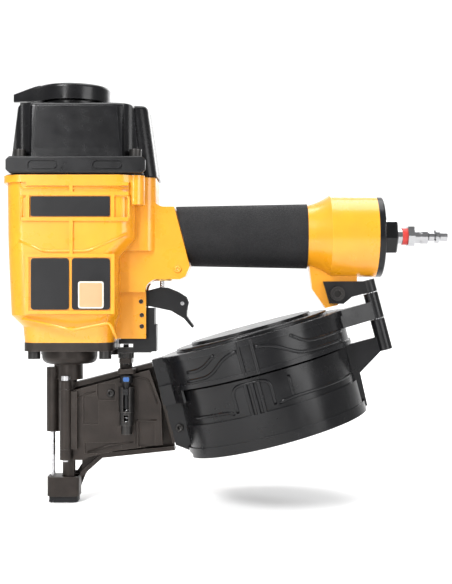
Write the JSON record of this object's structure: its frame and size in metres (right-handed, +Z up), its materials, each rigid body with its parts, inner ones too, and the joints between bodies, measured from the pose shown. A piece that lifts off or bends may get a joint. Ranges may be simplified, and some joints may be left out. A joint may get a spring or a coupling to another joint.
{
  "type": "pneumatic coil nailer",
  "caption": "Pneumatic coil nailer with cast housing, rubber grip, black cap, hinged feed door, sprung contact tip and a tilted round magazine with a swing-open cover.",
  "frame": {"origin": "on the driver axis at the contact plane of the nose pad", "axes": "+Z up the driver axis to the exhaust deflector, +X back along the handle to the air plug, -Y the side the feed door opens on"},
  "size_m": [0.313, 0.1336, 0.2961],
  "materials": {
    "yellow_paint": "semi-gloss paint",
    "black_gloss": "glossy black",
    "black_plastic": "satin black",
    "black_rubber": "grained",
    "dark_steel": "phosphated",
    "bright_steel": "ground",
    "aluminium": "machined",
    "brass": "machined",
    "ring_plastic": "moulded",
    "blue_plastic": "moulded",
    "chrome": "plated",
    "red_seal": "thread sealant"
  },
  "bodies": {
    "frame": {"air_plug": "chrome", "bracket_bolt": "dark_steel", "bumper": "black_plastic", "canister": "black_gloss", "cap_bolts": "dark_steel", "cap_gasket": "black_rubber", "centre_post": "black_plastic", "cover_hinge_pin": "bright_steel", "cylinder_cap": "black_gloss", "cylinder_sleeve": "aluminium", "deflector_screw": "dark_steel", "door_hinge_pin": "bright_steel", "feed_cylinder": "dark_steel", "feed_spring": "bright_steel", "grip_sleeve": "black_rubber", "guide_pins": "bright_steel", "head_valve_spring": "bright_steel", "housing": "yellow_paint", "label_plates": "black_plastic", "magazine_bracket": "black_plastic", "name_plates": "black_plastic", "nose_bolts": "dark_steel", "nose_casting": "dark_steel", "rear_cap": "black_gloss", "rear_cap_ring": "black_rubber", "side_guards": "black_rubber", "thread_seal": "red_seal", "trigger_pivot_pin": "bright_steel", "trigger_spring": "bright_steel", "trip_arm_guide": "black_plastic", "trip_spring": "bright_steel", "valve_body": "brass", "valve_retainer": "brass", "valve_spring": "bright_steel"},
    "trigger_body": {"trigger": "black_plastic", "trigger_lever_pin": "bright_steel"},
    "lever": {"trigger_lever": "bright_steel"},
    "stem": {"valve_stem": "bright_steel"},
    "trip": {"contact_tip": "dark_steel", "nose_pad": "black_rubber", "trip_rod": "bright_steel", "contact_arm": "dark_steel", "arm_screw": "dark_steel", "depth_screw": "bright_steel", "upper_trip_arm": "dark_steel"},
    "wheel": {"depth_wheel": "dark_steel"},
    "door": {"feed_door": "dark_steel", "latch_barrel": "dark_steel", "latch_spring": "bright_steel"},
    "latch": {"door_latch": "blue_plastic"},
    "cover": {"magazine_cover": "black_gloss"},
    "platform": {"nail_platform": "black_plastic"},
    "feed": {"feed_piston": "aluminium", "feed_pawl_pin": "bright_steel"},
    "pawl": {"feed_pawl": "bright_steel"},
    "driver": {"drive_piston": "aluminium", "piston_ring": "ring_plastic", "driver_blade": "bright_steel"},
    "head": {"head_valve": "aluminium"},
    "deflector": {"exhaust_deflector": "black_gloss"}
  },
  "joints": [
    {"name": "trigger_pull", "type": "hinge", "parent": "frame", "child": "trigger_body", "pos_m": [0.0524, 0, 0.1433], "axis": [0, -1, 0], "range_deg": [0, 7], "stiffness_Nm_per_rad": 0.6},
    {"name": "lever_tilt", "type": "hinge", "parent": "trigger_body", "child": "lever", "pos_m": [0.0814, 0, 0.1418], "axis": [0, 1, 0], "range_deg": [0, 5]},
    {"name": "valve_stem_push", "type": "slide", "parent": "frame", "child": "stem", "axis": [0, 0, 1], "range_m": [0, 0.003], "stiffness_N_per_m": 800, "deforming": ["valve_spring"]},
    {"name": "contact_trip_slide", "type": "slide", "parent": "frame", "child": "trip", "axis": [0, 0, 1], "range_m": [0, 0.01], "stiffness_N_per_m": 900, "deforming": ["trip_spring"]},
    {"name": "depth_wheel_turn", "type": "hinge", "parent": "trip", "child": "wheel", "pos_m": [0.0405, 0, 0.1044], "axis": [0, 0, 1], "continuous": true},
    {"name": "feed_door_swing", "type": "hinge", "parent": "frame", "child": "door", "pos_m": [-0.001, -0.013, 0.06], "axis": [0, 0, -1], "range_deg": [0, 95]},
    {"name": "door_latch_pull", "type": "slide", "parent": "door", "child": "latch", "axis": [0, 0, -1], "range_m": [0, 0.0028], "stiffness_N_per_m": 1500, "deforming": ["latch_spring"]},
    {"name": "magazine_cover_swing", "type": "hinge", "parent": "frame", "child": "cover", "pos_m": [0.21944, -0.006, 0.13499], "axis": [-0.2588, 0, 0.9659], "range_deg": [0, 110]},
    {"name": "nail_platform_slide", "type": "slide", "parent": "frame", "child": "platform", "axis": [-0.2588, 0, 0.9659], "range_m": [0, 0.018]},
    {"name": "feed_piston_slide", "type": "slide", "parent": "frame", "child": "feed", "axis": [-1, 0, 0], "range_m": [0, 0.006], "stiffness_N_per_m": 1000},
    {"name": "feed_pawl_tilt", "type": "hinge", "parent": "feed", "child": "pawl", "pos_m": [0.0345, 0.01595, 0.062], "axis": [0, 0, 1], "range_deg": [0, 10], "stiffness_Nm_per_rad": 0.05},
    {"name": "driver_stroke", "type": "slide", "parent": "frame", "child": "driver", "axis": [0, 0, -1], "range_m": [0, 0.07]},
    {"name": "head_valve_lift", "type": "slide", "parent": "frame", "child": "head", "axis": [0, 0, 1], "range_m": [0, 0.005], "stiffness_N_per_m": 2500, "deforming": ["head_valve_spring"]},
    {"name": "deflector_turn", "type": "hinge", "parent": "frame", "child": "deflector", "pos_m": [0.003, 0, 0.289], "axis": [0, 0, 1], "continuous": true}
  ]
}
